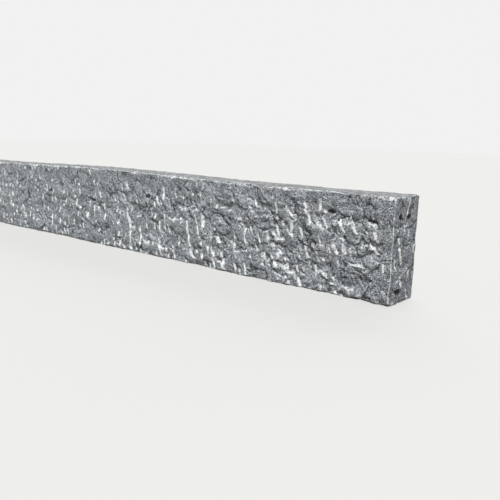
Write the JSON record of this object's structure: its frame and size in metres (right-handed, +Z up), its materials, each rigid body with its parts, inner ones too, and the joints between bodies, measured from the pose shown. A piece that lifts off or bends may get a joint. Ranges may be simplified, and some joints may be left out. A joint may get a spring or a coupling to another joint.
{
  "type": "granite kerb stone",
  "caption": "Long straight kerb stone of dark grey granite with rough pointed long faces and ends, a plain flat top, a flat bed and spalled edges, standing on its bed.",
  "frame": {"origin": "middle of the stone's footprint, on the plane of its bed", "axes": "+X along the stone, +Y from the front face to the back face, +Z up from the bed to the top"},
  "size_m": [1.9998, 0.12, 0.258],
  "materials": {
    "granite": "rough pointed, dark grey and speckled"
  },
  "bodies": {
    "root": {"kerb_stone": "granite"}
  },
  "joints": []
}
